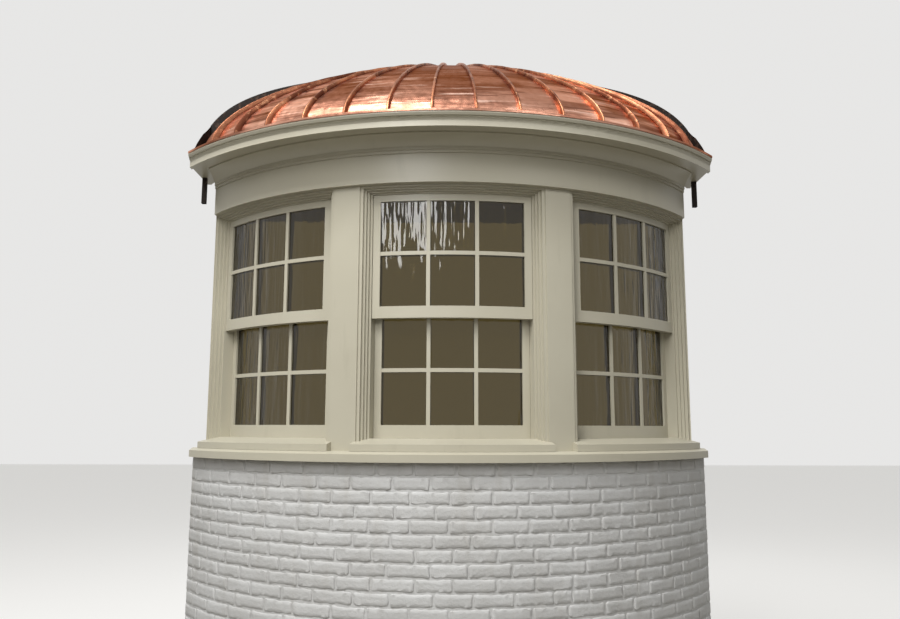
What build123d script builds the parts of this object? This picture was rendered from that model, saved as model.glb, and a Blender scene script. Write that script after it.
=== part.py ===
from build123d import *
import os
from math import acos, atan2, cos, degrees, radians, sin, sqrt

os.makedirs("parts", exist_ok=True)

# Driving sizes in millimetres and degrees. The house wall is the plane Y = 0, the ground is Z = 0.
# The bay bows towards -Y on circles about one upright axis, BOW_CENTRE behind the wall.
# Angles on the bow start at its middle and grow towards +X.
BOW_CENTRE = 942
NICHE_HALF = 1487
FACE_R = 1750
ROOM_R = 1575

# Brick base
COURSE = 67.7
BASE_COURSES = 21
BRICK_R = 1782
BRICK_DEPTH = 92
BASE_SEGMENTS = 5

# Floor and the wall under the windows
FLOOR_COURSES = 9
DECK_T = 22
JOIST_H = 235
JOIST_T = 38
JOIST_COUNT = 5
JOIST_PITCH = 406
BLOCK_DEPTH = 150
STUD_T = 38
STUD_PITCH = 11.4
STUD_COUNT = 9
SHEATHING_T = 12
LINING_T = 12

# Sills
NOSING_R = 1826
NOSING_FRONT = 38
NOSING_H = 51
NOSING_SLOPE_R = 1790
SILL_R = 1794
SILL_FRONT = 34
SILL_H = 61
SILL_SLOPE_R = 1690
SILL_BACK_R = 1600
SILL_HORN = 0.45
STOOL_R = 1530
STOOL_T = 25

# Windows: three alike, each this many degrees from the next
WINDOW_PITCH = 36.77
WINDOW_HALF = 16.0
GLASS_HALF = 12.9
SASH_HALF = 14.3
SASH_GAP = 0.05
SASH_SEAT = 0.3
SASH_T = 45
UPPER_SASH_R = 1683
LOWER_SASH_R = 1631
GLASS_RECESS = 11
GLASS_T = 6
GLASS_BITE = 8
BAR_W = 20
BAR_SET = 2
HEAD_Z = 2829.5
SASH_TOP = 35.5
TOP_RAIL = 37
UPPER_GLASS_FOOT = 2203.5
MEETING_RAIL = 61
LOWER_GLASS_TOP = 2158
BOTTOM_RAIL = 67
CASING_R = 1742
CASING_STEP_R = 17
CASING_STEPS = ((15.45, 12), (15.05, 20), (14.68, 28))
MULLION_BOARD_T = 20

# Head, cornice and ceiling
FRIEZE_T = 25
FRIEZE_H = 152
CEILING_T = 13
BED_H = 78
BED_REACH = 105
SOFFIT_T = 15
CROWN_R = 1980
CROWN_TOP_R = 2005
CROWN_BACK_R = 1955
CROWN_DROP = 12
CROWN_H = 78
PLATE_H = 50

# Roof: a half dome on a half oval plan, whose section grows fuller towards the house wall
ROOF_HALF_WIDTH = 1510
ROOF_DEPTH = 1014
ROOF_RISE = 629
FRONT_EAVE_PULL = 0.314
FRONT_TOP_PULL = 0.427
WALL_EAVE_PULL = 0.523
WALL_TOP_PULL = 0.923
FULLNESS_POWER = 6
END_FOLDS = [78, 84]
COPPER_T = 2
DECKING_T = 12
RIB_T = 38
RIB_H = 90
RIB_SHARE = 0.8
HUB_HALF_WIDTH = 500
HUB_DEPTH = 268
HUB_H = 34
SEAM_COUNT = 14
SEAM_PITCH = 6.4
SEAM_W = 14
SEAM_H = 28
SEAM_SEAT = 0.3
SEAM_SHARE = 0.84
CAP_SHARE = 0.9
LID_HALF_WIDTH = 400
LID_DEPTH = 160
LID_DROP = 8.5
LID_H = 12
LID_TAPER = 60
EAVE_R = 1985
APRON_T = 2
APRON_R = 2009
DRIP_H = 9
FLASHING_T = 4
FLASHING_H = 34

# Tubes that hang under the cornice beside the wall corners
TUBE_W = 25
TUBE_WALL = 2
TUBE_X = 1468
TUBE_Y = -128
TUBE_FOOT = 2903

# Levels worked out from the sizes above
BASE_TOP = COURSE * BASE_COURSES
FLOOR_Z = COURSE * FLOOR_COURSES
SILL_Z = BASE_TOP + NOSING_H
SILL_TOP = SILL_Z + SILL_H
SASH_HEAD = HEAD_Z - SASH_TOP
SOFFIT_Z = HEAD_Z + FRIEZE_H + BED_H
PLATE_Z = SOFFIT_Z + SOFFIT_T
CROWN_Z = SOFFIT_Z - CROWN_DROP
APRON_Z = PLATE_Z + PLATE_H
CORNER_ANGLE = WINDOW_PITCH + WINDOW_HALF
BAY_HALF = FACE_R * sin(radians(CORNER_ANGLE))
BACK_ANGLE = 88
TALL = 6000
WIDE = 6000


def save(name, shape):
    export_step(shape, f"parts/{name}.step")


def swept(points, start, end):
    """Sweep an outline of (radius, height) points about the bow's axis, between two angles."""
    outline = Plane.XZ * make_face(Polyline(*points, close=True))
    turned = revolve(outline, Axis.Z, end - start)
    return Pos(0, BOW_CENTRE, 0) * Rot(0, 0, start - 90) * turned


def ring(inner, outer, low, high, start=-BACK_ANGLE, end=BACK_ANGLE):
    """Upright curved board between two radii, two heights and two angles."""
    return swept([(inner, low), (outer, low), (outer, high), (inner, high)], start, end)


def block(x0, x1, y0, y1, z0, z1):
    return Pos((x0 + x1) / 2, (y0 + y1) / 2, (z0 + z1) / 2) * Box(x1 - x0, y1 - y0, z1 - z0)


def trim(shape, half, back=0):
    """Keep what lies in front of the house wall and between two upright side planes."""
    return shape & block(-half, half, -WIDE, -back, -1, TALL)


def disc(radius, low, high):
    return Pos(0, BOW_CENTRE, (low + high) / 2) * Cylinder(radius, high - low)


def bow_point(radius, angle):
    return radius * sin(radians(angle)), BOW_CENTRE - radius * cos(radians(angle))


# Brick base: one curved skin in segments, and its concrete block backing up to the joists
BRICK_BACK = BRICK_R - BRICK_DEPTH
base_reach = degrees(acos((BOW_CENTRE - 1) / BRICK_R))
segment = 2 * base_reach / BASE_SEGMENTS
segment_names = ["far_left", "left", "centre", "right", "far_right"]
for i in range(BASE_SEGMENTS):
    start = -base_reach + i * segment
    wall = ring(BRICK_BACK, BRICK_R, 0, BASE_TOP, start, start + segment)
    save(f"brick_base_{segment_names[i]}", trim(wall, NICHE_HALF))

DECK_Z = FLOOR_Z - DECK_T
JOIST_Z = DECK_Z - JOIST_H
foundation = trim(ring(BRICK_BACK - BLOCK_DEPTH, BRICK_BACK, 0, JOIST_Z), NICHE_HALF)
save("foundation_wall", foundation)

# Floor: joists from the wall line to the curved backing, with a ledger and a rim
JOIST_R = BRICK_BACK - SHEATHING_T
joists = block(-BAY_HALF, BAY_HALF, -JOIST_T, 0, JOIST_Z, DECK_Z)
for i in range(JOIST_COUNT):
    x = (i - (JOIST_COUNT - 1) / 2) * JOIST_PITCH
    joists += block(x - JOIST_T / 2, x + JOIST_T / 2, -WIDE, 0, JOIST_Z, DECK_Z)
joists &= disc(JOIST_R, JOIST_Z, DECK_Z)
joists += ring(JOIST_R - JOIST_T, JOIST_R, JOIST_Z, DECK_Z)
save("floor_joists", trim(joists, NICHE_HALF))
save("floor_deck", trim(disc(JOIST_R, DECK_Z, FLOOR_Z), NICHE_HALF))

# Wall under the windows: bent sheathing, studs between two plates, and the room's lining
STUD_R = ROOM_R + LINING_T
studs = ring(STUD_R, JOIST_R, FLOOR_Z, FLOOR_Z + STUD_T)
studs += ring(STUD_R, JOIST_R, BASE_TOP - STUD_T, BASE_TOP)
for i in range(STUD_COUNT):
    angle = (i - (STUD_COUNT - 1) / 2) * STUD_PITCH
    half = degrees(STUD_T / 2 / STUD_R)
    studs += ring(STUD_R, JOIST_R, FLOOR_Z, BASE_TOP, angle - half, angle + half)
save("knee_wall_frame", trim(studs, NICHE_HALF))
save("knee_wall_sheathing", trim(ring(JOIST_R, BRICK_BACK, JOIST_Z, BASE_TOP), NICHE_HALF))
save("knee_wall_lining", trim(ring(ROOM_R, STUD_R, FLOOR_Z, BASE_TOP), NICHE_HALF))

# Continuous lower sill with a weathered top, and the stool on the room side
nosing = [
    (ROOM_R, BASE_TOP),
    (NOSING_R, BASE_TOP),
    (NOSING_R, BASE_TOP + NOSING_FRONT),
    (NOSING_SLOPE_R, SILL_Z),
    (ROOM_R, SILL_Z),
]
save("lower_sill", trim(swept(nosing, -BACK_ANGLE, BACK_ANGLE), NICHE_HALF))
save("window_stool", trim(ring(STOOL_R, SILL_BACK_R, SILL_Z, SILL_Z + STOOL_T), BAY_HALF))


def window_sill(centre):
    """Sloping sill under one window, whose front nose runs on as a horn past each side."""
    body = swept(
        [
            (SILL_BACK_R, SILL_Z),
            (FACE_R, SILL_Z),
            (FACE_R, slope_height(FACE_R)),
            (SILL_SLOPE_R, SILL_TOP),
            (SILL_BACK_R, SILL_TOP),
        ],
        centre - WINDOW_HALF,
        centre + WINDOW_HALF,
    )
    nose = swept(
        [
            (FACE_R, SILL_Z),
            (SILL_R, SILL_Z),
            (SILL_R, SILL_Z + SILL_FRONT),
            (FACE_R, slope_height(FACE_R)),
        ],
        centre - WINDOW_HALF - SILL_HORN,
        centre + WINDOW_HALF + SILL_HORN,
    )
    return trim(body + nose, NICHE_HALF)


def slope_height(radius):
    share = (SILL_R - radius) / (SILL_R - SILL_SLOPE_R)
    return SILL_Z + SILL_FRONT + share * (SILL_H - SILL_FRONT)


def window_frame(centre):
    """Jambs and bowed head, scribed over the sill, with a stepped casing round the sash opening."""
    section = [
        (ROOM_R, SILL_Z + STOOL_T),
        (SILL_BACK_R, SILL_Z + STOOL_T),
        (SILL_BACK_R, SILL_TOP),
        (SILL_SLOPE_R, SILL_TOP),
        (CASING_R, slope_height(CASING_R)),
        (CASING_R, HEAD_Z),
        (ROOM_R, HEAD_Z),
    ]
    frame = swept(section, centre - WINDOW_HALF, centre + WINDOW_HALF)
    for i, (half, drop) in enumerate(CASING_STEPS):
        depth = CASING_R - (i + 1) * CASING_STEP_R
        frame -= ring(depth, NOSING_R, 0, HEAD_Z - drop, centre - half, centre + half)
    return frame - ring(STOOL_R, NOSING_R, 0, SASH_HEAD, centre - SASH_HALF, centre + SASH_HALF)


def sash(centre, outer, low, high, glass_low, glass_high):
    """One bowed sash with three by two lights, and the bent sheet of glass in its rebate."""
    inner = outer - SASH_T
    half = SASH_HALF - SASH_GAP
    wood = ring(inner, outer, low, high, centre - half, centre + half)
    bar = degrees(BAR_W / 2 / outer)
    middle = (glass_low + glass_high) / 2
    for column in range(3):
        start = centre - GLASS_HALF + column * 2 * GLASS_HALF / 3 + (bar if column else 0)
        end = centre - GLASS_HALF + (column + 1) * 2 * GLASS_HALF / 3 - (bar if column < 2 else 0)
        for row_low, row_high in ((glass_low, middle - BAR_W / 2), (middle + BAR_W / 2, glass_high)):
            wood -= ring(inner - 1, outer + 1, row_low, row_high, start, end)
    # The bars stand a little behind the face of the sash
    left, right = centre - GLASS_HALF, centre + GLASS_HALF
    wood -= ring(outer - BAR_SET, outer + 1, glass_low, glass_high, left, right)
    bite = degrees(GLASS_BITE / outer)
    pane_low, pane_high = glass_low - GLASS_BITE, glass_high + GLASS_BITE
    face = outer - GLASS_RECESS
    pane = ring(face - GLASS_T, face, pane_low, pane_high, left - bite, right + bite)
    return wood - pane, pane


sills = [window_sill(side * WINDOW_PITCH) for side in (-1, 0, 1)]
save("window_sills", Compound(children=sills))
for side, name in ((-1, "left"), (0, "centre"), (1, "right")):
    centre = side * WINDOW_PITCH
    save(f"{name}_window_frame", window_frame(centre))
    upper_foot = UPPER_GLASS_FOOT - MEETING_RAIL
    upper, upper_pane = sash(
        centre, UPPER_SASH_R, upper_foot, SASH_HEAD - SASH_SEAT, UPPER_GLASS_FOOT, SASH_HEAD - TOP_RAIL
    )
    lower_foot = SILL_TOP + SASH_SEAT
    lower, lower_pane = sash(
        centre, LOWER_SASH_R, lower_foot, UPPER_GLASS_FOOT, lower_foot + BOTTOM_RAIL, LOWER_GLASS_TOP
    )
    save(f"{name}_upper_sash", upper)
    save(f"{name}_lower_sash", lower)
    save(f"{name}_window_glass", Compound(children=[upper_pane, lower_pane]))

# Mullions: a flat board in front of a post, on each side of the middle window, and the end posts
board_back = FACE_R - MULLION_BOARD_T
half_board = WINDOW_PITCH - WINDOW_HALF
boards = []
posts = []
corners = []
for side in (-1, 1):
    start, end = sorted((side * WINDOW_HALF, side * half_board))
    boards.append(ring(board_back, FACE_R, SILL_Z, HEAD_Z, start, end))
    post = ring(SILL_BACK_R, board_back, SILL_Z, HEAD_Z, start, end)
    posts.append(post + ring(ROOM_R, SILL_BACK_R, SILL_Z + STOOL_T, HEAD_Z, start, end))
    start, end = sorted((side * CORNER_ANGLE, side * BACK_ANGLE))
    corners.append(trim(ring(SILL_BACK_R, FACE_R, SILL_Z, HEAD_Z, start, end), BAY_HALF))
save("mullion_boards", Compound(children=boards))
save("mullion_posts", Compound(children=posts))
save("corner_posts", Compound(children=corners))

# Head of the bay: bent header, flat frieze, bed moulding, soffit and ceiling
save("window_header", trim(ring(STUD_R, CASING_R, HEAD_Z, PLATE_Z), BAY_HALF))
frieze_r = FACE_R + FRIEZE_T
frieze_top = HEAD_Z + FRIEZE_H
save("frieze", trim(ring(CASING_R, frieze_r, HEAD_Z, frieze_top), BAY_HALF))
save("ceiling_board", trim(disc(STUD_R, HEAD_Z, HEAD_Z + CEILING_T), BAY_HALF))


def moulding(points, arcs=()):
    """Face of a moulding in the upright plane: straight runs, with an arc where one is given."""
    edges = []
    for i, point in enumerate(points):
        after = points[(i + 1) % len(points)]
        if i in dict(arcs):
            edges.append(RadiusArc(point, after, dict(arcs)[i]))
        else:
            edges.append(Line(point, after))
    return make_face(edges)


def swept_face(face):
    turned = revolve(Plane.XZ * face, Axis.Z, 2 * BACK_ANGLE)
    return Pos(0, BOW_CENTRE, 0) * Rot(0, 0, -BACK_ANGLE - 90) * turned


band = BED_H / 5
bed = moulding(
    [
        (CASING_R, frieze_top),
        (frieze_r + 8, frieze_top),
        (frieze_r + 8, frieze_top + band),
        (frieze_r + 16, frieze_top + band),
        (frieze_r + 16, frieze_top + 2 * band),
        (frieze_r + BED_REACH, SOFFIT_Z - band / 2),
        (frieze_r + BED_REACH, SOFFIT_Z),
        (CASING_R, SOFFIT_Z),
    ],
    [(4, 130)],
)
save("bed_moulding", trim(swept_face(bed), BAY_HALF))
save("soffit", trim(ring(CASING_R, CROWN_BACK_R, SOFFIT_Z, PLATE_Z), NICHE_HALF))
crown = moulding(
    [
        (CROWN_BACK_R, CROWN_Z),
        (CROWN_R, CROWN_Z),
        (CROWN_R, CROWN_Z + CROWN_H * 0.36),
        (CROWN_R + 13, CROWN_Z + CROWN_H * 0.55),
        (CROWN_R + 9, CROWN_Z + CROWN_H * 0.6),
        (CROWN_R + 18, CROWN_Z + CROWN_H * 0.64),
        (CROWN_TOP_R, CROWN_Z + CROWN_H * 0.78),
        (CROWN_TOP_R, APRON_Z),
        (CROWN_BACK_R, APRON_Z),
    ],
    [(2, 16)],
)
save("crown_moulding", trim(swept_face(crown), NICHE_HALF))
save("roof_plate", trim(ring(STUD_R, CROWN_BACK_R, PLATE_Z, APRON_Z), NICHE_HALF))


def first_part(points, share):
    """Control points of the first part of a curve."""
    kept = []
    while points:
        kept.append(points[0])
        pairs = zip(points, points[1:])
        points = [(x0 + share * (x1 - x0), z0 + share * (z1 - z0)) for (x0, z0), (x1, z1) in pairs]
    return kept


def roof_section(turn, outside, inside, share=1):
    """Upright slice of the roof between two offsets, at an angle from straight ahead.
    Its curve leaves the eave upright and ends level, and it is fuller close to the house wall."""
    across, ahead = sin(radians(turn)), cos(radians(turn))
    reach = 1 / sqrt((across / ROOF_HALF_WIDTH) ** 2 + (ahead / ROOF_DEPTH) ** 2)
    fullness = (abs(turn) / 90) ** FULLNESS_POWER
    eave_pull = FRONT_EAVE_PULL + fullness * (WALL_EAVE_PULL - FRONT_EAVE_PULL)
    top_pull = FRONT_TOP_PULL + fullness * (WALL_TOP_PULL - FRONT_TOP_PULL)
    curves = []
    for offset in (outside, inside):
        foot = reach * (1 + offset / ROOF_DEPTH)
        top = ROOF_RISE + offset
        pulls = [(foot, 0), (foot, eave_pull * top), (top_pull * foot, top), (0, top)]
        curves.append(Bezier(*first_part(pulls, share)))
    outer, inner = curves
    ends = [Line(outer @ 1, inner @ 1), Line(inner @ 0, outer @ 0)]
    return Rot(0, 0, turn - 90) * (Plane.XZ * make_face([outer, inner, *ends]))


def roof_shell(outside, inside, share=CAP_SHARE):
    """Shell of the roof, with straight lines across between one fold and the next."""
    sections = [roof_section(turn, outside, inside, share) for turn in folds]
    return Pos(0, 0, APRON_Z) * loft(sections, ruled=True)


def upright_plate(turn, thickness):
    half = thickness / 2
    return Rot(0, 0, turn) * block(-half, half, -WIDE, 0, APRON_Z - 1, TALL)


def half_oval(half_width, depth):
    return Ellipse(half_width, depth) & Pos(0, -WIDE / 2) * Rectangle(WIDE, WIDE)


# The folds lie in upright planes through the top of the roof, under the seams and past the last ones
seam_turns = []
for i in range(SEAM_COUNT):
    x, y = bow_point(EAVE_R, (i - (SEAM_COUNT - 1) / 2) * SEAM_PITCH)
    seam_turns.append(degrees(atan2(x, -y)))
folds = [-90, *[-turn for turn in END_FOLDS[::-1]], *seam_turns, *END_FOLDS, 90]

# Copper skin on boards
deck_under = COPPER_T + DECKING_T
save("copper_roof", trim(roof_shell(0, -COPPER_T), NICHE_HALF))
save("roof_decking", trim(roof_shell(-COPPER_T, -deck_under), NICHE_HALF))

# Standing seams on the folds, ribs under them, and a rib along each end
seam_space = NICHE_HALF - FLASHING_T - SEAM_SEAT
seam_shell = trim(roof_shell(SEAM_H, 0, SEAM_SHARE), seam_space, FLASHING_T + SEAM_SEAT)
seam_shell &= block(-WIDE, WIDE, -WIDE, 0, APRON_Z + APRON_T + SEAM_SEAT, TALL)
seams = [upright_plate(turn, SEAM_W) & seam_shell for turn in seam_turns]
save("roof_seams", Compound(children=seams))
hub_foot = APRON_Z + ROOF_RISE - deck_under - RIB_H
hub_plan = Pos(0, 0, hub_foot) * half_oval(HUB_HALF_WIDTH, HUB_DEPTH)
rib_shell = roof_shell(-deck_under, -deck_under - RIB_H, RIB_SHARE)
rib_space = trim(rib_shell, NICHE_HALF - RIB_T - SEAM_SEAT, RIB_T + SEAM_SEAT)
rib_space -= extrude(hub_plan, WIDE)
ribs = [upright_plate(turn, RIB_T) & rib_space for turn in seam_turns]
for low, high in ((-NICHE_HALF, RIB_T - NICHE_HALF), (NICHE_HALF - RIB_T, NICHE_HALF)):
    ribs.append(rib_shell & block(low, high, -WIDE, 0, APRON_Z, TALL))
save("roof_ribs", Compound(children=ribs))

# Arched rib against the wall, scribed to the boards, with the half-round hub that the ribs meet
arch = roof_shell(-deck_under, -deck_under - RIB_H)
arch &= block(RIB_T - NICHE_HALF, NICHE_HALF - RIB_T, -RIB_T, 0, APRON_Z, TALL)
save("wall_rib", arch + extrude(hub_plan, HUB_H))

# Low lid over the upper ends of the sheets
lid = extrude(Ellipse(LID_HALF_WIDTH, LID_DEPTH), LID_H, taper=LID_TAPER)
lid = Pos(0, 0, APRON_Z + ROOF_RISE - LID_DROP) * lid
lid -= Pos(0, 0, -COPPER_T) * lid
save("roof_cap", lid & block(-WIDE, WIDE, -WIDE, -FLASHING_T - SEAM_SEAT, 0, TALL))

# Sheet over the cornice with its drip edge, and the upstands along the house wall and the ends
apron = [
    (STUD_R, APRON_Z),
    (CROWN_TOP_R, APRON_Z),
    (CROWN_TOP_R, APRON_Z - DRIP_H),
    (APRON_R, APRON_Z - DRIP_H),
    (APRON_R, APRON_Z + APRON_T),
    (STUD_R, APRON_Z + APRON_T),
]
roof_foot = Ellipse(ROOF_HALF_WIDTH + SEAM_SEAT, ROOF_DEPTH + SEAM_SEAT)
apron_sheet = trim(swept(apron, -BACK_ANGLE, BACK_ANGLE), NICHE_HALF)
save("copper_apron", apron_sheet - Pos(0, 0, APRON_Z) * extrude(roof_foot, TALL))
half_arch = extrude(roof_section(90, FLASHING_H, 0), FLASHING_T, dir=(0, -1, 0))
wall_arch = Pos(0, 0, APRON_Z) * (half_arch + mirror(half_arch, Plane.YZ))
upstands = [wall_arch & block(-NICHE_HALF, NICHE_HALF, -WIDE, 0, APRON_Z, TALL)]
upstand_shell = roof_shell(FLASHING_H, 0)
for low, high in ((-NICHE_HALF, FLASHING_T - NICHE_HALF), (NICHE_HALF - FLASHING_T, NICHE_HALF)):
    end_space = block(low, high, -WIDE, -FLASHING_T - SEAM_SEAT, APRON_Z + APRON_T + SEAM_SEAT, TALL)
    upstands.append(upstand_shell & end_space)
save("wall_flashing", Compound(children=upstands))

tubes = []
for side in (-1, 1):
    x = side * TUBE_X
    half = TUBE_W / 2
    tube = block(x - half, x + half, TUBE_Y - half, TUBE_Y + half, TUBE_FOOT, SOFFIT_Z)
    hole = half - TUBE_WALL
    tubes.append(tube - block(x - hole, x + hole, TUBE_Y - hole, TUBE_Y + hole, TUBE_FOOT, SOFFIT_Z))
save("drop_tubes", Compound(children=tubes))
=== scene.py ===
from math import acos, atan2, cos, degrees, pi, radians, sin, sqrt

import bpy
from mathutils import Euler, Matrix, Vector


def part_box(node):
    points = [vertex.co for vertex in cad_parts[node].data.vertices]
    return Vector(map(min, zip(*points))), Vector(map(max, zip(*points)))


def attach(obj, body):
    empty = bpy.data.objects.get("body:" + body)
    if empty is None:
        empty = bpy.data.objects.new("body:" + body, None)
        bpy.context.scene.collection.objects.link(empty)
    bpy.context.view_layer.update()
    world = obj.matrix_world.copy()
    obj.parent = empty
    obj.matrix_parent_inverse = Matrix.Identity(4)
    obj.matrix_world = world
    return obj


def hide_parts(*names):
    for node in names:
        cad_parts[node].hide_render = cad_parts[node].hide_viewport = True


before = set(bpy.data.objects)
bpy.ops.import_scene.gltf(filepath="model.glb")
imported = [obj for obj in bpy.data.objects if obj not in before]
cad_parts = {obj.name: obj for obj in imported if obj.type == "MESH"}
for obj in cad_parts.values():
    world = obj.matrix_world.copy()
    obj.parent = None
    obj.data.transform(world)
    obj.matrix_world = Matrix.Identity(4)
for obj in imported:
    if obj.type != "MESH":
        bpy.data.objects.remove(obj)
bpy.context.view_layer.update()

# Viewpoint at standing height in front of the bay, looking slightly up at it.
EYE = (-0.0852, -4.7528, 1.5903)
LOOK_UP = 0.14676
LOOK_RIGHT = 0.01789
HELD_ASKEW = 0.002377
bpy.ops.object.camera_add(location=EYE)
camera = bpy.context.object
camera.rotation_euler = Euler((pi / 2 + LOOK_UP, 0, -LOOK_RIGHT))
camera.rotation_euler.rotate_axis("Z", HELD_ASKEW)
camera.data.sensor_width = 36
camera.data.lens = 31.89
bpy.context.scene.camera = camera
bpy.context.scene.view_settings.view_transform = "Standard"


# Pale floor and pale surround. The eye, gloss and glass see them pale, but they throw little
# light on the bay, so that the lamps shape it.
FLOOR_SIZE = 60
FLOOR_DROP = 0.002
FLOOR_THROWN_BACK = (0.23, 0.215, 0.185, 1)
FLOOR_SEEN = (0.40, 0.397, 0.388, 1)
FLOOR_GLOW_SEEN = (0.52, 0.515, 0.50, 1)
SURROUND_SEEN = 0.80
SURROUND_LIGHT = 0.20


def joined(tree, socket, value):
    """Set a socket to a value, or link it to an output."""
    if hasattr(value, "is_output"):
        tree.links.new(value, socket)
    else:
        socket.default_value = value


def add(tree, kind, settings=(), **inputs):
    """Place a shader node. An input is named as on the node, with _ for a space."""
    node = tree.nodes.new("ShaderNode" + kind)
    for key, value in dict(settings).items():
        setattr(node, key, value)
    for key, value in inputs.items():
        joined(tree, node.inputs[key.replace("_", " ")], value)
    return node


def worked_out(tree, operation, *values):
    """Result of one sum with numbers or outputs."""
    node = add(tree, "Math", {"operation": operation})
    for socket, value in zip(node.inputs, values):
        joined(tree, socket, value)
    return node.outputs[0]


def background_rays(tree):
    """1 for the rays by which the eye, gloss and glass see the surround."""
    paths = add(tree, "LightPath").outputs
    seen = worked_out(tree, "MAXIMUM", paths["Is Camera Ray"], paths["Is Glossy Ray"])
    return worked_out(tree, "MAXIMUM", seen, paths["Is Transmission Ray"])


def new_material(name):
    material = bpy.data.materials.new(name)
    material.use_nodes = True
    tree = material.node_tree
    return material, tree, tree.nodes["Principled BSDF"]


def mixed(tree, share, under, over):
    """Colour between two others, by a share from 0 to 1."""
    mix = add(tree, "Mix", {"data_type": "RGBA"})
    share_socket, under_socket, over_socket = mix.inputs[0], mix.inputs[6], mix.inputs[7]
    joined(tree, share_socket, share)
    joined(tree, under_socket, under)
    joined(tree, over_socket, over)
    return mix.outputs[2]


bpy.ops.mesh.primitive_plane_add(size=FLOOR_SIZE, location=(0, 0, -FLOOR_DROP))
floor = bpy.context.object
floor.name = "floor"
floor_paint, tree, shader = new_material("pale_floor")
tone = mixed(tree, background_rays(tree), FLOOR_THROWN_BACK, FLOOR_SEEN)
tree.links.new(tone, shader.inputs["Base Color"])
tree.links.new(background_rays(tree), shader.inputs["Emission Strength"])
shader.inputs["Emission Color"].default_value = FLOOR_GLOW_SEEN
shader.inputs["Roughness"].default_value = 0.9
floor.data.materials.append(floor_paint)

world = bpy.data.worlds.new("studio")
world.use_nodes = True
bpy.context.scene.world = world
tree = world.node_tree
sky = tree.nodes["Background"]
sky.inputs["Color"].default_value = (1, 0.995, 0.985, 1)
strength = add(tree, "MapRange", Value=background_rays(tree), To_Min=SURROUND_LIGHT, To_Max=SURROUND_SEEN)
tree.links.new(strength.outputs["Result"], sky.inputs["Strength"])

# Soft lamps: a wide one high in front like open sky, a narrower one lower in front, a weak one on
# the right, and a last one for the open back, which gloss and glass don't show.
LIT_POINT = Vector((0, -0.4, 1.9))
for name, place, width, height, power in (
    ("sky_lamp", (-2.9, -4.9, 9.3), 4.2, 3.4, 820),
    ("front_lamp", (-2.0, -7.6, 5.9), 2.2, 3.6, 230),
    ("side_lamp", (3.6, -5.6, 7.0), 2.0, 2.0, 90),
    ("room_side_lamp", (0.5, 4.5, 6.0), 4.0, 4.0, 140),
):
    bpy.ops.object.light_add(type="AREA", location=place)
    lamp = bpy.context.object
    lamp.name = name
    lamp.data.shape = "RECTANGLE"
    lamp.data.size = width
    lamp.data.size_y = height
    lamp.data.energy = power
    aim = LIT_POINT - Vector(place)
    lamp.rotation_euler = aim.to_track_quat("-Z", "Y").to_euler()
lamp.visible_glossy = False
lamp.visible_transmission = False


# Brick base: clay bricks in running bond on the curve of the bay, bedded in mortar, under
# thick off-white masonry paint that rounds every edge and leaves the joints shallow.
BOW_CENTRE = 0.942
COURSES = 21
BRICK_LONG = 0.1975
BRICK_DEPTH = 0.092
HEAD_JOINT = 0.010
BED_JOINT = 0.010
JOINT_SET = 0.0038
base_low, base_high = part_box("brick_base_centre")
BRICK_R = BOW_CENTRE - base_low[1]
BASE_TOP = base_high[2]
NICHE_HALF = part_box("brick_base_far_right")[1][0]
COURSE = BASE_TOP / COURSES

# The painted face of a brick: how far it reaches into the bedding, its cells, its rounded
# corners and rim, and the lumps of each of its shapes as direction, size and strength.
BRICK_IN = 0.03
CELLS_LONG = 12
CELLS_TALL = 3
CORNER_ROUND = 0.008
RIM_ROUND = 0.0035
BRICK_SHAPES = 13
BRICK_LUMPS = (("X", 0.028, 0.013), ("Z", 0.022, 0.012), ("Y", 0.040, 0.004))

# How unevenly the bricks lie: drift of a course and wander of a head joint as shares of a brick,
# set-back in metres, turn, tilt and lean in radians, change of height as a share, and the level
# of the uneven number above which a joint is followed by a half bat.
DRIFT = 0.08
WANDER = 0.045
SET_BACK = 0.0018
TURN = 0.008
TILT = 0.010
LEAN = 0.02
TALLER = 0.03
HALF_BAT_ABOVE = 0.99

# New pieces are sawn this far inside the faces of the nodes that they stand for.
INSET = 0.0004

# Points closer than this are at the same place.
TOUCH = 1e-4


def select_only(piece):
    bpy.ops.object.select_all(action="DESELECT")
    piece.select_set(True)
    bpy.context.view_layer.objects.active = piece


def select_edges(piece, wanted):
    """Select the edges of a piece whose two ends pass a test, in edge mode."""
    select_only(piece)
    bpy.ops.object.mode_set(mode="EDIT")
    bpy.ops.mesh.select_mode(type="EDGE")
    bpy.ops.mesh.select_all(action="DESELECT")
    bpy.ops.object.mode_set(mode="OBJECT")
    for edge in piece.data.edges:
        edge.select = wanted(*[piece.data.vertices[i].co for i in edge.vertices])
    bpy.ops.object.mode_set(mode="EDIT")


def join_all(pieces, name):
    bpy.ops.object.select_all(action="DESELECT")
    for piece in pieces:
        piece.select_set(True)
    bpy.context.view_layer.objects.active = pieces[0]
    bpy.ops.object.join()
    whole = bpy.context.object
    whole.name = name
    return whole


def saw(piece, point, normal):
    """Saw a piece off along a plane, on the side that the normal points to, and close the cut."""
    select_only(piece)
    bpy.ops.object.mode_set(mode="EDIT")
    bpy.ops.mesh.select_all(action="SELECT")
    bpy.ops.mesh.bisect(plane_co=point, plane_no=normal, clear_outer=True, use_fill=True)
    bpy.ops.mesh.select_all(action="SELECT")
    bpy.ops.mesh.fill_holes(sides=4)
    bpy.ops.mesh.select_all(action="SELECT")
    bpy.ops.mesh.normals_make_consistent(inside=False)
    bpy.ops.object.mode_set(mode="OBJECT")


def apply_modifier(piece, kind, **settings):
    select_only(piece)
    bpy.ops.object.modifier_add(type=kind)
    modifier = piece.modifiers[-1]
    for key, value in settings.items():
        setattr(modifier, key, value)
    bpy.ops.object.modifier_apply(modifier=modifier.name)


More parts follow.
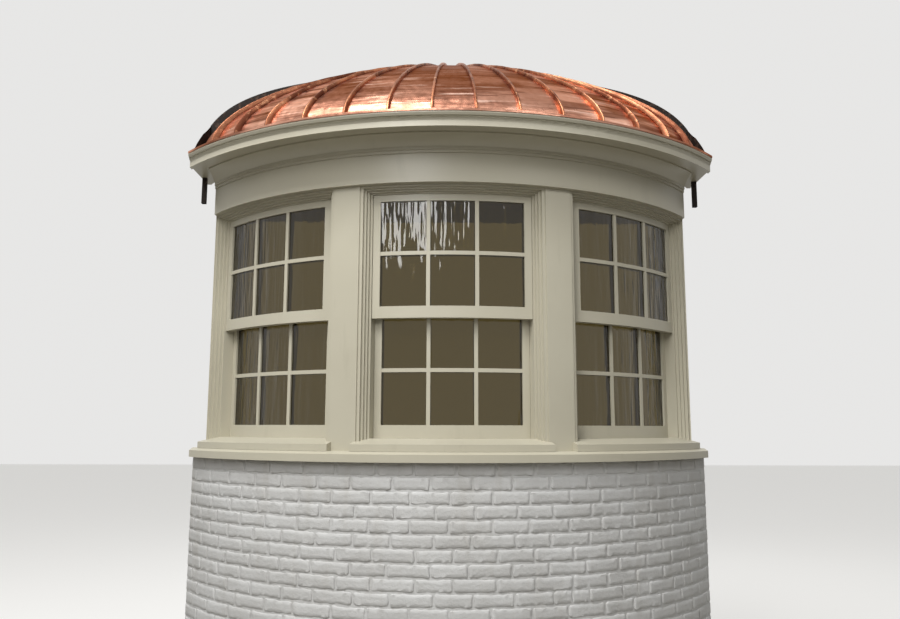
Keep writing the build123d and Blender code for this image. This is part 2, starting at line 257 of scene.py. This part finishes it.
def roughen(piece, size, strength, **settings):
    """Push the surface in and out by a cloudy noise of a given lump size."""
    lumps = bpy.data.textures.new(piece.name + "_lumps", "CLOUDS")
    lumps.noise_scale = size
    apply_modifier(piece, "DISPLACE", texture=lumps, strength=strength, **settings)


bpy.ops.object.select_all(action="DESELECT")
bpy.ops.mesh.primitive_grid_add(
    x_subdivisions=CELLS_LONG, y_subdivisions=CELLS_TALL, size=1, rotation=(pi / 2, 0, 0)
)
brick = bpy.context.object
half_long = (BRICK_LONG - HEAD_JOINT) / 2
half_tall = (COURSE - BED_JOINT) / 2
brick.scale = (2 * half_long, 2 * half_tall, 1)
bpy.ops.object.transform_apply(location=True, rotation=True, scale=True)
bpy.ops.object.mode_set(mode="EDIT")
bpy.ops.mesh.select_all(action="SELECT")
bpy.ops.mesh.extrude_region_move(TRANSFORM_OT_translate={"value": (0, BRICK_IN, 0)})
bpy.ops.object.mode_set(mode="OBJECT")


def at_corner(a, b):
    return all(abs(end.x) > half_long - TOUCH and abs(end.z) > half_tall - TOUCH for end in (a, b))


select_edges(brick, at_corner)
bpy.ops.mesh.bevel(offset=CORNER_ROUND, segments=2, affect="EDGES")
bpy.ops.object.mode_set(mode="OBJECT")
select_edges(brick, lambda a, b: min(a.y, b.y) > BRICK_IN - TOUCH)
bpy.ops.mesh.select_mode(type="FACE")
bpy.ops.mesh.dissolve_faces()
bpy.ops.object.mode_set(mode="OBJECT")
select_edges(brick, lambda a, b: max(a.y, b.y) < TOUCH)
bpy.ops.mesh.select_mode(type="FACE")
bpy.ops.mesh.region_to_loop()
bpy.ops.mesh.bevel(offset=RIM_ROUND, segments=1, affect="EDGES")
bpy.ops.object.mode_set(mode="OBJECT")

# Each shape takes its lumps at another height of the noise.
shapes = []
for k in range(BRICK_SHAPES):
    shape = brick.copy()
    shape.data = brick.data.copy()
    bpy.context.collection.objects.link(shape)
    shape.data.transform(Matrix.Translation((0, 0, k)))
    for direction, size, strength in BRICK_LUMPS:
        roughen(shape, size, strength, direction=direction)
    shape.data.transform(Matrix.Translation((0, 0, -k)))
    shapes.append(shape)


def uneven(course, k, by_course, by_brick):
    """Number from -1 to 1 that changes from course to course and from brick to brick."""
    return sin(course * by_course + k * by_brick)


base_reach = acos(BOW_CENTRE / BRICK_R)
brick_angle = BRICK_LONG / BRICK_R
each_way = int(base_reach / brick_angle) + 2
laid = []
for course in range(COURSES):
    shift = course % 2 / 2 + DRIFT * uneven(course, 0, 2.3, 0)
    joints = []
    for k in range(-each_way, each_way + 1):
        joints.append((k + shift + WANDER * uneven(course, k, 12.9, 78.2)) * brick_angle)
        if uneven(course, k, 5.3, 3.1) > HALF_BAT_ABOVE:
            joints.append(joints[-1] + brick_angle / 2)
    for k, (start, stop) in enumerate(zip(joints, joints[1:])):
        middle = (start + stop) / 2
        if abs(middle) > base_reach + brick_angle / 2:
            continue
        longer = (stop - start) / brick_angle
        # A brick stands back by about a tenth of the set-back up to all of it.
        out = BRICK_R - SET_BACK * (1.2 + uneven(course, k, 3.7, 5.1)) / 2.2
        place = Vector((out * sin(middle), BOW_CENTRE - out * cos(middle), (course + 0.5) * COURSE))
        turned = Matrix.Rotation(middle + TURN * uneven(course, k, 1, 6.1), 4, "Z")
        tilted = Matrix.Rotation(TILT * uneven(course, k, 7.3, 2.9), 4, "Y")
        leaning = Matrix.Rotation(LEAN * uneven(course, k, 4.7, 8.3), 4, "X")
        grown = Matrix.Diagonal((longer, 1, 1 + TALLER * uneven(course, k, 1, 4.1), 1))
        shape = shapes[(course * 5 + k * 7) % BRICK_SHAPES]
        copy = shape.copy()
        copy.data = shape.data.copy()
        copy.data.transform(Matrix.Translation(place) @ turned @ tilted @ leaning @ grown)
        bpy.context.collection.objects.link(copy)
        laid.append(copy)
for shape in (brick, *shapes):
    bpy.data.objects.remove(shape)
brickwork = join_all(laid, "painted_brickwork")
roughen(brickwork, size=0.012, strength=0.0022)

# The mortar between and behind the bricks is one curved wall, with spare length for the saw.
# The paint makes its front face uneven, apart from the rows along its top and foot.
BEDDING_CUTS = 70
BEDDING_STEPS = 200
SPARE_END = 0.09
NEAR = 0.001
bedding_r = BRICK_R - JOINT_SET
bedding_reach = base_reach + SPARE_END
bpy.ops.object.select_all(action="DESELECT")
bpy.ops.mesh.primitive_plane_add(size=1, rotation=(0, pi / 2, 0))
bedding = bpy.context.object
bedding.scale = (BASE_TOP, bedding_r - BRICK_R + BRICK_DEPTH, 1)
bedding.location = (0, BOW_CENTRE - (bedding_r + BRICK_R - BRICK_DEPTH) / 2, BASE_TOP / 2)
bpy.ops.object.transform_apply(location=True, rotation=True, scale=True)
bpy.ops.object.mode_set(mode="EDIT")
bpy.ops.mesh.select_all(action="SELECT")
bpy.ops.mesh.delete(type="ONLY_FACE")
bpy.ops.object.mode_set(mode="OBJECT")
front_y = BOW_CENTRE - bedding_r
select_edges(bedding, lambda a, b: abs(a.y - front_y) < TOUCH and abs(b.y - front_y) < TOUCH)
bpy.ops.mesh.subdivide(number_cuts=BEDDING_CUTS)
bpy.ops.mesh.select_all(action="SELECT")
bpy.ops.mesh.spin(
    steps=BEDDING_STEPS, angle=2 * bedding_reach, center=(0, BOW_CENTRE, 0), axis=(0, 0, 1)
)
bpy.ops.mesh.select_all(action="SELECT")
bpy.ops.mesh.normals_make_consistent(inside=False)
bpy.ops.object.mode_set(mode="OBJECT")

# The spin starts straight ahead, so the wall is turned back by half of it.
spun_to = max((vertex.co.x for vertex in bedding.data.vertices), key=abs)
to_axis = Matrix.Translation((0, BOW_CENTRE, 0))
back_turn = Matrix.Rotation(-bedding_reach if spun_to > 0 else bedding_reach, 4, "Z")
bedding.data.transform(to_axis @ back_turn @ to_axis.inverted())
front = bedding.vertex_groups.new(name="front")
for vertex in bedding.data.vertices:
    out = (vertex.co - Vector((0, BOW_CENTRE, vertex.co.z))).length
    if abs(out - bedding_r) < NEAR and NEAR < vertex.co.z < BASE_TOP - NEAR:
        front.add([vertex.index], 1, "REPLACE")
roughen(bedding, size=0.04, strength=0.0050, vertex_group="front")

# The bricks are sawn a little shorter than the bedding, so that no two cuts share a plane.
for piece, short in ((brickwork, 2 * INSET), (bedding, INSET)):
    saw(piece, (NICHE_HALF - short, 0, 0), (1, 0, 0))
    saw(piece, (short - NICHE_HALF, 0, 0), (-1, 0, 0))
    saw(piece, (0, -short, 0), (0, 1, 0))
    saw(piece, (0, 0, short), (0, 0, -1))
    saw(piece, (0, 0, BASE_TOP - short), (0, 0, 1))
brickwork = join_all([brickwork, bedding], "painted_brickwork")
bpy.ops.object.shade_smooth_by_angle(angle=radians(50))


def new_group(name, inputs, output, output_kind="Float"):
    """Node group with named inputs, given as name: (kind, value), and one output."""
    group = bpy.data.node_groups.new(name, "ShaderNodeTree")
    for label, (kind, value) in inputs.items():
        socket = group.interface.new_socket(label, in_out="INPUT", socket_type="NodeSocket" + kind)
        socket.default_value = value
    group.interface.new_socket(output, in_out="OUTPUT", socket_type="NodeSocket" + output_kind)
    start = group.nodes.new("NodeGroupInput").outputs
    end = group.nodes.new("NodeGroupOutput").inputs
    return group, start, end


def vectors(tree, operation, first, second):
    """Sum or product of two vectors, part by part."""
    node = add(tree, "VectorMath", {"operation": operation})
    joined(tree, node.inputs[0], first)
    joined(tree, node.inputs[1], second)
    return node.outputs[0]


# Cloudy mask in the object's own space, which can be drawn out along the height or across it.
streaks, start, end = new_group(
    "streaks",
    {"Place": ("Vector", (0, 0, 0)), "Across": ("Float", 5), "Up": ("Float", 5), "Detail": ("Float", 4)},
    "Mask",
)
ratio = add(streaks, "CombineXYZ", X=start["Across"], Y=start["Across"], Z=start["Up"])
stretched = vectors(streaks, "MULTIPLY", start["Place"], ratio.outputs[0])
cloud = add(streaks, "TexNoise", Vector=stretched, Scale=1.0, Detail=start["Detail"], Roughness=0.6)
joined(streaks, end["Mask"], cloud.outputs["Fac"])

# A second tone laid over a first where a mask lies between two levels.
tint, start, end = new_group(
    "tint",
    {
        "Mask": ("Float", 0.5),
        "From": ("Float", 0.35),
        "To": ("Float", 0.65),
        "Strength": ("Float", 1),
        "Under": ("Color", (1, 1, 1, 1)),
        "Over": ("Color", (0, 0, 0, 1)),
    },
    "Tone",
    "Color",
)
span = {"From_Min": start["From"], "From_Max": start["To"]}
levels = add(tint, "MapRange", Value=start["Mask"], To_Max=start["Strength"], **span)
joined(tint, end["Tone"], mixed(tint, levels.outputs["Result"], start["Under"], start["Over"]))


def piece_material(name):
    """New material with its node tree, its shader and the place on the piece."""
    material, tree, shader = new_material(name)
    return material, tree, shader, add(tree, "TexCoord").outputs["Object"]


def use(tree, group, **inputs):
    """Place a node group in a material and return its output."""
    node = tree.nodes.new("ShaderNodeGroup")
    node.node_tree = group
    for key, value in inputs.items():
        joined(tree, node.inputs[key], value)
    return node.outputs[0]


def set_range(tree, socket, mask, low, high, span=(0.3, 0.7)):
    """Feed a number that goes from low to high with a mask."""
    levels = add(tree, "MapRange", Value=mask, From_Min=span[0], From_Max=span[1], To_Min=low, To_Max=high)
    tree.links.new(levels.outputs["Result"], socket)


def set_relief(tree, shader, *layers):
    """Bumps laid one over the other, each as height, strength and distance in metres."""
    normal = None
    for height, amount, distance in layers:
        bump = add(tree, "Bump", Height=height, Strength=amount, Distance=distance)
        if normal:
            tree.links.new(normal, bump.inputs["Normal"])
        normal = bump.outputs[0]
    tree.links.new(normal, shader.inputs["Normal"])


def coat(piece, material):
    """Give a piece one material all over."""
    piece.data.materials.clear()
    piece.data.materials.append(material)


BRICK_WHITE = (0.47, 0.465, 0.45, 1)
FRESH_WHITE = (0.56, 0.56, 0.55, 1)
RAIN_RUN = (0.36, 0.335, 0.29, 1)
THICK_PAINT = (0.66, 0.66, 0.65, 1)
DARK_PIT_SPECK = (0.26, 0.24, 0.21, 1)
brick_paint, tree, shader, where = piece_material("painted_brick")
patches = use(tree, streaks, Place=where, Across=3.4, Up=5.0, Detail=5)
runs = use(tree, streaks, Place=where, Across=11, Up=1.3, Detail=5)
lumps = use(tree, streaks, Place=where, Across=55, Up=70, Detail=4)
pits = use(tree, streaks, Place=where, Across=210, Up=240, Detail=3)
tone = use(tree, tint, Mask=patches, From=0.3, To=0.7, Under=BRICK_WHITE, Over=FRESH_WHITE)
tone = use(tree, tint, Mask=runs, From=0.52, To=0.8, Strength=0.4, Under=tone, Over=RAIN_RUN)
tone = use(tree, tint, Mask=lumps, From=0.58, To=0.72, Strength=0.25, Under=tone, Over=THICK_PAINT)
# Small dark specks where the pits noise is highest.
tone = use(tree, tint, Mask=pits, From=0.70, To=0.76, Strength=0.5, Under=tone, Over=DARK_PIT_SPECK)
tree.links.new(tone, shader.inputs["Base Color"])
set_range(tree, shader.inputs["Roughness"], lumps, low=0.52, high=0.74)
set_relief(tree, shader, (lumps, 0.55, 0.005), (pits, 0.35, 0.0016))
coat(brickwork, brick_paint)
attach(brickwork, "root")
segments = ("far_left", "left", "centre", "right", "far_right")
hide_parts(*[f"brick_base_{segment}" for segment in segments])


# Block backing behind the bricks: grey concrete blocks on the same curve, laid in running
# bond with flush mortar joints.
BLOCK_LONG = 0.40
BLOCK_TALL = 0.20
MORTAR = 0.01
BLOCK_GREY = (0.36, 0.36, 0.35, 1)
PALE_BLOCK = (0.42, 0.42, 0.40, 1)
MORTAR_GREY = (0.52, 0.51, 0.48, 1)
PORE_GREY = (0.2, 0.2, 0.19, 1)


def dress(material, *names):
    """Give a material to CAD nodes."""
    for name in names:
        coat(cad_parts[name], material)


block, tree, shader, where = piece_material("concrete_block")
split = add(tree, "SeparateXYZ", Vector=where).outputs
off_axis = worked_out(tree, "SUBTRACT", split["Y"], BOW_CENTRE)
around = worked_out(tree, "ARCTAN2", split["X"], off_axis)
girth = worked_out(tree, "MULTIPLY", around, BRICK_R - BRICK_DEPTH)
unrolled = add(tree, "CombineXYZ", X=girth, Y=split["Z"])
bond = add(
    tree, "TexBrick", Vector=unrolled.outputs[0], Scale=1.0, Brick_Width=BLOCK_LONG, Row_Height=BLOCK_TALL,
    Mortar_Size=MORTAR / 2, Color1=BLOCK_GREY, Color2=PALE_BLOCK, Mortar=MORTAR_GREY,
).outputs
pores = use(tree, streaks, Place=where, Across=90, Up=90, Detail=5)
tone = use(tree, tint, Mask=pores, From=0.5, To=0.75, Strength=0.6, Under=bond["Color"], Over=PORE_GREY)
tree.links.new(tone, shader.inputs["Base Color"])
shader.inputs["Roughness"].default_value = 0.92
set_relief(tree, shader, (bond["Fac"], -0.5, 0.003), (pores, 0.6, 0.004))
dress(block, "foundation_wall")

# Framing: floor joists, studs and plates of the low wall, posts, header, roof plate and ribs,
# all of sawn softwood, nailed together.
EARLY_WOOD = (0.60, 0.44, 0.26, 1)
LATE_WOOD = (0.43, 0.28, 0.14, 1)
HANDLED_WOOD = (0.50, 0.38, 0.24, 1)
lumber, tree, shader, where = piece_material("sawn_softwood")
rings = use(tree, streaks, Place=where, Across=5, Up=62, Detail=6)
blotch = use(tree, streaks, Place=where, Across=3, Up=3, Detail=3)
fibres = use(tree, streaks, Place=where, Across=30, Up=420, Detail=3)
tone = use(tree, tint, Mask=rings, From=0.38, To=0.62, Under=EARLY_WOOD, Over=LATE_WOOD)
tone = use(tree, tint, Mask=blotch, From=0.4, To=0.7, Strength=0.5, Under=tone, Over=HANDLED_WOOD)
tree.links.new(tone, shader.inputs["Base Color"])
set_range(tree, shader.inputs["Roughness"], fibres, low=0.7, high=0.9)
set_relief(tree, shader, (rings, 0.3, 0.002), (fibres, 0.25, 0.001))
dress(lumber, "floor_joists", "knee_wall_frame", "mullion_posts", "window_header")
dress(lumber, "roof_plate", "roof_ribs", "wall_rib")

# Sheathing, floor deck and roof boards: softwood plywood with its knots, bent over the
# framing where that is curved, and nailed.
PALE_VENEER = (0.58, 0.42, 0.24, 1)
DARK_VENEER = (0.42, 0.27, 0.13, 1)
KNOT_BROWN = (0.25, 0.14, 0.07, 1)
plywood, tree, shader, where = piece_material("softwood_plywood")
veneer = use(tree, streaks, Place=where, Across=3, Up=26, Detail=7)
knot = add(tree, "TexVoronoi", Vector=where, Scale=4.0).outputs["Distance"]
pores = use(tree, streaks, Place=where, Across=60, Up=60, Detail=3)
tone = use(tree, tint, Mask=veneer, From=0.36, To=0.64, Under=PALE_VENEER, Over=DARK_VENEER)
tone = use(tree, tint, Mask=knot, From=0.07, To=0.0, Strength=0.6, Under=tone, Over=KNOT_BROWN)
tree.links.new(tone, shader.inputs["Base Color"])
set_range(tree, shader.inputs["Roughness"], pores, low=0.66, high=0.84)
set_relief(tree, shader, (veneer, 0.25, 0.0015), (pores, 0.2, 0.001))
dress(plywood, "floor_deck", "knee_wall_sheathing", "roof_decking")

# Inner boards: gypsum board, bent round under the windows and flat on the ceiling, screwed
# to the framing and not yet painted.
PAPER_GREY = (0.60, 0.585, 0.55, 1)
CLEAN_PAPER = (0.70, 0.69, 0.66, 1)
gypsum, tree, shader, where = piece_material("gypsum_board")
smudge = use(tree, streaks, Place=where, Across=4, Up=6, Detail=5)
paper = use(tree, streaks, Place=where, Across=280, Up=280, Detail=2)
tone = use(tree, tint, Mask=smudge, From=0.3, To=0.7, Under=PAPER_GREY, Over=CLEAN_PAPER)
tree.links.new(tone, shader.inputs["Base Color"])
set_range(tree, shader.inputs["Roughness"], smudge, low=0.8, high=0.92)
set_relief(tree, shader, (paper, 0.2, 0.0006))
dress(gypsum, "knee_wall_lining", "ceiling_board")

# Joinery: sills, stool, frames, sashes, boards and the whole cornice, planed or bent softwood
# under a warm grey satin paint, brushed on, with faint drip marks and specks of dust.
WARM_GREY = (0.445, 0.415, 0.322, 1)
LIGHT_WARM_GREY = (0.480, 0.452, 0.356, 1)
DRIP_MARK = (0.33, 0.30, 0.225, 1)
DUST_SPECK = (0.18, 0.16, 0.12, 1)
trim_paint, tree, shader, where = piece_material("warm_grey_paint")
clouds = use(tree, streaks, Place=where, Across=1.7, Up=1.7, Detail=3)
drips = use(tree, streaks, Place=where, Across=14, Up=2.2, Detail=4)
specks = use(tree, streaks, Place=where, Across=330, Up=330, Detail=2)
strokes = use(tree, streaks, Place=where, Across=9, Up=260, Detail=3)
tone = use(tree, tint, Mask=clouds, From=0.3, To=0.7, Under=WARM_GREY, Over=LIGHT_WARM_GREY)
tone = use(tree, tint, Mask=drips, From=0.60, To=0.85, Strength=0.35, Under=tone, Over=DRIP_MARK)
tone = use(tree, tint, Mask=specks, From=0.74, To=0.80, Strength=0.5, Under=tone, Over=DUST_SPECK)
tree.links.new(tone, shader.inputs["Base Color"])
set_range(tree, shader.inputs["Roughness"], clouds, low=0.34, high=0.46)
set_relief(tree, shader, (strokes, 0.08, 0.0006))
joinery = ["lower_sill", "window_sills", "window_stool", "mullion_boards", "corner_posts"]
joinery += ["frieze", "bed_moulding", "soffit", "crown_moulding"]
for side in ("left", "centre", "right"):
    joinery += [f"{side}_{part}" for part in ("window_frame", "upper_sash", "lower_sash")]
dress(trim_paint, *joinery)

# Glass: two bent sheets in each window, set in the rebates of the sashes, with slow upright
# waves from the bending. Its dark tint stands for the shade behind it.
GLASS_TINT = (0.088, 0.064, 0.018, 1)
glass, tree, shader, where = piece_material("window_glass")
waves = use(tree, streaks, Place=where, Across=20, Up=2.0, Detail=2)
set_relief(tree, shader, (waves, 0.6, 0.022))
shader.inputs["Base Color"].default_value = GLASS_TINT
shader.inputs["Roughness"].default_value = 0.02
shader.inputs["Transmission Weight"].default_value = 0.9
shader.inputs["IOR"].default_value = 1.52
dress(glass, "left_window_glass", "centre_window_glass", "right_window_glass")


# Roof sheets: new copper, one tapering sheet between each two seams, dressed by hand over the
# boards, so that it lies in shallow ripples. The roof has a fold under each seam, and two more
# past the last seam on each side.
ROOF_HALF_WIDTH = 1.510
ROOF_DEPTH = 1.014
ROOF_RISE = 0.629
FRONT_PULLS = (0.314, 0.427)
WALL_PULLS = (0.523, 0.923)
FULLNESS_POWER = 6
SEAM_COUNT = 14
SEAM_PITCH = 6.4
EAVE_R = 1.985
END_FOLDS = (78, 84)
END_TURN = 89.9
SHEET_SHARE = 0.9
SHEET_T = 0.002
LINE_STEPS = 44
SHEET_CUTS = 7
ROOF_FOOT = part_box("copper_roof")[0][2]
seam_turns = []
for i in range(SEAM_COUNT):
    angle = radians((i - (SEAM_COUNT - 1) / 2) * SEAM_PITCH)
    seam_turns.append(degrees(atan2(EAVE_R * sin(angle), EAVE_R * cos(angle) - BOW_CENTRE)))
folds = [-END_TURN, *[-turn for turn in END_FOLDS[::-1]], *seam_turns, *END_FOLDS, END_TURN]

# Painted reflection: how dark the sheets look, as a slow swing from sheet to sheet that is darkest
# on the middle one, and a small quick swing.
MIDDLE_SHADE = 0.5
MIDDLE_SHEET = (len(folds) - 2) / 2
SLOW_SWING = 0.38
SLOW_STEP = 0.75
QUICK_SWING = 0.12
QUICK_STEP = 2.4


def first_part(points, share):
    """Control points of the first part of a curve."""
    kept = []
    while points:
        kept.append(points[0])
        points = [low.lerp(high, share) for low, high in zip(points, points[1:])]
    return kept


def section_points(turn, offset, share, top_offset):
    """Control points of the roof's upright section at an angle from straight ahead."""
    across, ahead = sin(radians(turn)), cos(radians(turn))
    reach = 1 / sqrt((across / ROOF_HALF_WIDTH) ** 2 + (ahead / ROOF_DEPTH) ** 2)
    fullness = (abs(turn) / 90) ** FULLNESS_POWER
    eave_pull, top_pull = [low + fullness * (high - low) for low, high in zip(FRONT_PULLS, WALL_PULLS)]
    foot = reach * (1 + offset / ROOF_DEPTH)
    top = ROOF_RISE + top_offset
    pulls = ((foot, 0), (foot, eave_pull * top), (top_pull * foot, top), (0, top))
    places = [Vector((out * across, -out * ahead, ROOF_FOOT + up)) for out, up in pulls]
    return first_part(places, share)


def section_line(turn, offset, share, top_offset=0):
    """The roof's upright section at an angle, as a line of edges."""
    bpy.ops.object.select_all(action="DESELECT")
    bpy.ops.curve.primitive_bezier_curve_add()
    line = bpy.context.object
    line.data.splines[0].resolution_u = LINE_STEPS
    points = section_points(turn, offset, share, top_offset)
    first, last = line.data.splines[0].bezier_points
    for point in (first, last):
        point.handle_left_type = point.handle_right_type = "FREE"
    first.co, first.handle_left, first.handle_right = points[0], points[0], points[1]
    last.co, last.handle_left, last.handle_right = points[3], points[2], points[3]
    bpy.ops.object.convert(target="MESH")
    return bpy.context.object


def bridged(lines, name, cuts):
    """Skin between two lines."""
    skin = join_all(lines, name)
    bpy.ops.object.mode_set(mode="EDIT")
    bpy.ops.mesh.select_all(action="SELECT")
    bpy.ops.mesh.bridge_edge_loops(number_cuts=cuts, interpolation="LINEAR")
    bpy.ops.object.mode_set(mode="OBJECT")
    return skin


def mark(piece, name, number):
    """Give all points of a piece a number that its material reads."""
    for point in piece.data.attributes.new(name, "FLOAT", "POINT").data:
        point.value = number


def face_outwards(piece):
    select_only(piece)
    bpy.ops.object.mode_set(mode="EDIT")
    bpy.ops.mesh.select_all(action="SELECT")
    bpy.ops.mesh.normals_make_consistent(inside=False)
    bpy.ops.object.mode_set(mode="OBJECT")


sheets = []
for i, (turn, after) in enumerate(zip(folds, folds[1:])):
    pair = [section_line(turn, 0, SHEET_SHARE), section_line(after, 0, SHEET_SHARE)]
    sheet = bridged(pair, "roof_sheet", SHEET_CUTS)
    slow = SLOW_SWING * cos((i - MIDDLE_SHEET) * SLOW_STEP)
    mark(sheet, "sheet_painted_reflection", MIDDLE_SHADE + slow + QUICK_SWING * sin(i * QUICK_STEP))
    sheets.append(sheet)
roof = join_all(sheets, "copper_sheets")
face_outwards(roof)

# An open skin can come out turned inwards. The ripples only go outwards, clear of the boards.
if sum(face.normal.z * face.area for face in roof.data.polygons) < 0:
    roof.data.flip_normals()
roughen(roof, size=0.16, strength=0.0035, mid_level=0.0)
apply_modifier(roof, "SOLIDIFY", thickness=SHEET_T, offset=-1)
for side in (-1, 1):
    saw(roof, (side * (NICHE_HALF - INSET), 0, 0), (side, 0, 0))
bpy.ops.object.shade_smooth_by_angle(angle=radians(35))

# The pattern starts at another height on each sheet, so that it breaks at the seams.
BRIGHT_COPPER = (0.90, 0.50, 0.36, 1)
PAINTED_DARK_REFLECTION = (0.30, 0.135, 0.088, 1)
PAINTED_DARK_BAND_REFLECTION = (0.26, 0.11, 0.07, 1)
PAINTED_DARK_RIPPLE_REFLECTION = (0.17, 0.07, 0.045, 1)
PAINTED_BRIGHT_RIPPLE_REFLECTION = (0.96, 0.68, 0.56, 1)
HAND_PRINT = (0.30, 0.12, 0.07, 1)
COPPER_GLANCE = (0.60, 0.37, 0.29, 1)
copper, tree, shader, where = piece_material("bright_copper")
shade = add(tree, "Attribute", {"attribute_name": "sheet_painted_reflection"}).outputs["Fac"]
lift = add(tree, "CombineXYZ", Z=shade)
moved = vectors(tree, "ADD", where, lift.outputs[0])
bands = use(tree, streaks, Place=moved, Across=1.3, Up=11, Detail=3)
ripples = use(tree, streaks, Place=moved, Across=2.2, Up=46, Detail=4)
dents = use(tree, streaks, Place=where, Across=9, Up=9, Detail=2)
prints = use(tree, streaks, Place=where, Across=34, Up=34, Detail=5)
# Painted reflection: each sheet made darker or brighter by its mark.
tone = use(tree, tint, Mask=shade, From=0, To=1, Under=BRIGHT_COPPER, Over=PAINTED_DARK_REFLECTION)
# Painted reflection: broad dark bands across the sheets.
tone = use(tree, tint, Mask=bands, From=0.46, To=0.55, Strength=0.85, Under=tone, Over=PAINTED_DARK_BAND_REFLECTION)
# Painted reflection: dark strands along the ripples.
tone = use(tree, tint, Mask=ripples, From=0.54, To=0.64, Strength=0.75, Under=tone, Over=PAINTED_DARK_RIPPLE_REFLECTION)
# Painted reflection: bright pink lines along the ripples.
tone = use(tree, tint, Mask=ripples, From=0.41, To=0.34, Strength=0.6, Under=tone, Over=PAINTED_BRIGHT_RIPPLE_REFLECTION)
tone = use(tree, tint, Mask=prints, From=0.62, To=0.74, Strength=0.3, Under=tone, Over=HAND_PRINT)
tree.links.new(tone, shader.inputs["Base Color"])
shader.inputs["Metallic"].default_value = 1
shader.inputs["Specular Tint"].default_value = COPPER_GLANCE
set_range(tree, shader.inputs["Roughness"], prints, low=0.26, high=0.42)
set_relief(tree, shader, (bands, 0.4, 0.02), (ripples, 0.25, 0.003), (dents, 0.3, 0.02))
coat(roof, copper)
dress(copper, "copper_apron", "roof_cap")
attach(roof, "root")
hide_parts("copper_roof")

# Standing seams: the edges of neighbouring sheets folded together twice, standing up on the
# fold and hammered tight, lower towards the top of the roof, with painted shade towards its two sides.
SEAM_H = 0.027
SEAM_TOP_H = 0.014
SEAM_W = 0.012
SEAM_SHARE = 0.84
FOLD_ROUND = 0.0028
DARKEST_TURN = 70
SEAM_BROWN = (0.56, 0.23, 0.12, 1)
TARNISH_BROWN = (0.13, 0.042, 0.022, 1)
PAINTED_HAMMER_GLINT = (0.92, 0.50, 0.28, 1)
SHADED_BROWN = (0.10, 0.035, 0.02, 1)
seams = []
for turn in seam_turns:
    pair = [section_line(turn, 0, SEAM_SHARE), section_line(turn, SEAM_H, SEAM_SHARE, SEAM_TOP_H)]
    fin = bridged(pair, "seam", cuts=1)
    apply_modifier(fin, "SOLIDIFY", thickness=SEAM_W, offset=0)
    apply_modifier(fin, "BEVEL", width=FOLD_ROUND, segments=2, limit_method="ANGLE")
    mark(fin, "seam_shade", (abs(turn) / DARKEST_TURN) ** 2)
    seams.append(fin)
seam_work = join_all(seams, "hammered_seams")
face_outwards(seam_work)
roughen(seam_work, size=0.03, strength=0.0035)
saw(seam_work, (0, 0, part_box("copper_apron")[1][2] + INSET), (0, 0, -1))
bpy.ops.object.shade_smooth_by_angle(angle=radians(50))

seam_copper, tree, shader, where = piece_material("hammered_seam_copper")
blows = add(tree, "TexVoronoi", Vector=where, Scale=34.0).outputs["Distance"]
tarnish = use(tree, streaks, Place=where, Across=5, Up=5, Detail=5)
glints = use(tree, streaks, Place=where, Across=26, Up=26, Detail=3)
shade = add(tree, "Attribute", {"attribute_name": "seam_shade"}).outputs["Fac"]
tone = use(tree, tint, Mask=tarnish, From=0.38, To=0.60, Under=SEAM_BROWN, Over=TARNISH_BROWN)
# Painted highlight: bright glints on the hammered faces.
tone = use(tree, tint, Mask=glints, From=0.58, To=0.70, Strength=0.6, Under=tone, Over=PAINTED_HAMMER_GLINT)
# Painted shade: the seams darken towards the two sides of the roof.
tone = use(tree, tint, Mask=shade, From=0.3, To=1, Strength=0.8, Under=tone, Over=SHADED_BROWN)
tree.links.new(tone, shader.inputs["Base Color"])
shader.inputs["Metallic"].default_value = 1
set_range(tree, shader.inputs["Roughness"], tarnish, low=0.30, high=0.50)
set_relief(tree, shader, (blows, 0.3, 0.003), (glints, 0.3, 0.002))
coat(seam_work, seam_copper)
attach(seam_work, "root")
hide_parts("roof_seams")

# Upstands along the back of the roof and the two hanging tubes: folded sheet with a dark
# bronze coat, scuffed in handling.
BRONZE_BLACK = (0.016, 0.012, 0.010, 1)
SCUFFED_BRONZE = (0.09, 0.060, 0.045, 1)
bronze, tree, shader, where = piece_material("dark_bronze_coat")
scuffs = use(tree, streaks, Place=where, Across=28, Up=28, Detail=6)
tone = use(tree, tint, Mask=scuffs, From=0.52, To=0.72, Under=BRONZE_BLACK, Over=SCUFFED_BRONZE)
tree.links.new(tone, shader.inputs["Base Color"])
set_range(tree, shader.inputs["Roughness"], scuffs, low=0.6, high=0.85)
shader.inputs["Specular IOR Level"].default_value = 0.12
set_relief(tree, shader, (scuffs, 0.4, 0.004))
dress(bronze, "wall_flashing", "drop_tubes")
